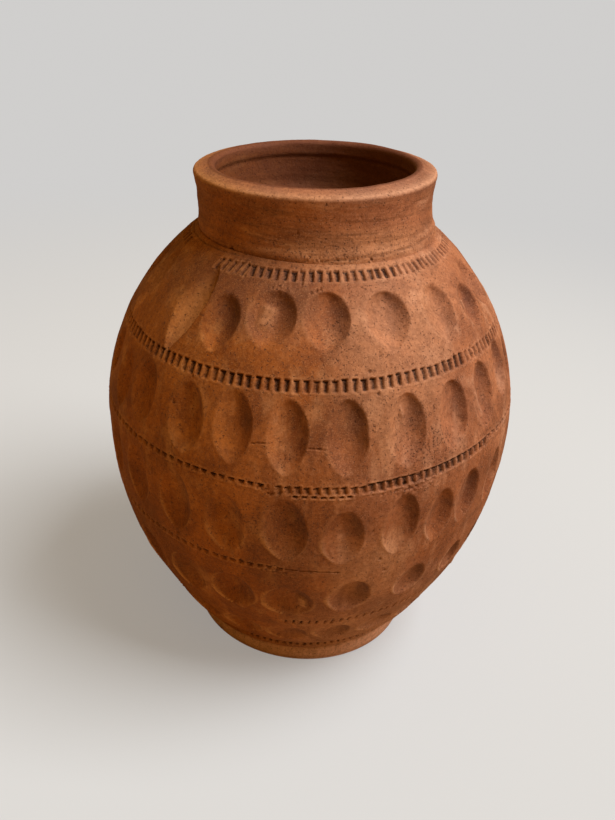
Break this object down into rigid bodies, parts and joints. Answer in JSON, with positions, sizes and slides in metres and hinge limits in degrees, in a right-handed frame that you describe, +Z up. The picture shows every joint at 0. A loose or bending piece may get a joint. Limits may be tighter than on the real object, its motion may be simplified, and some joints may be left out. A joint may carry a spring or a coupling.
{
  "type": "thumb-pressed terracotta jar pot",
  "caption": "Unglazed terracotta pot: a round-bellied jar with a short collar neck, a rolled open mouth, a turned foot disc and rows of thumb presses round its wall.",
  "frame": {"origin": "on the surface that the pot stands on, under the middle of the belly; the pot leans a little to the left, so the centre of its foot is 3.8 mm to the right of this point", "axes": "+Z straight up from the table to the mouth; the pressed face that the reference view shows faces -Y, and +X is to its right"},
  "size_m": [0.2606, 0.2606, 0.323],
  "materials": {
    "fired_clay": "matt unglazed terracotta, mottled, with darker fire marks"
  },
  "bodies": {
    "root": {"foot_disc": "fired_clay", "lower_bowl": "fired_clay", "shoulder_dome": "fired_clay", "neck_collar": "fired_clay"}
  },
  "joints": []
}
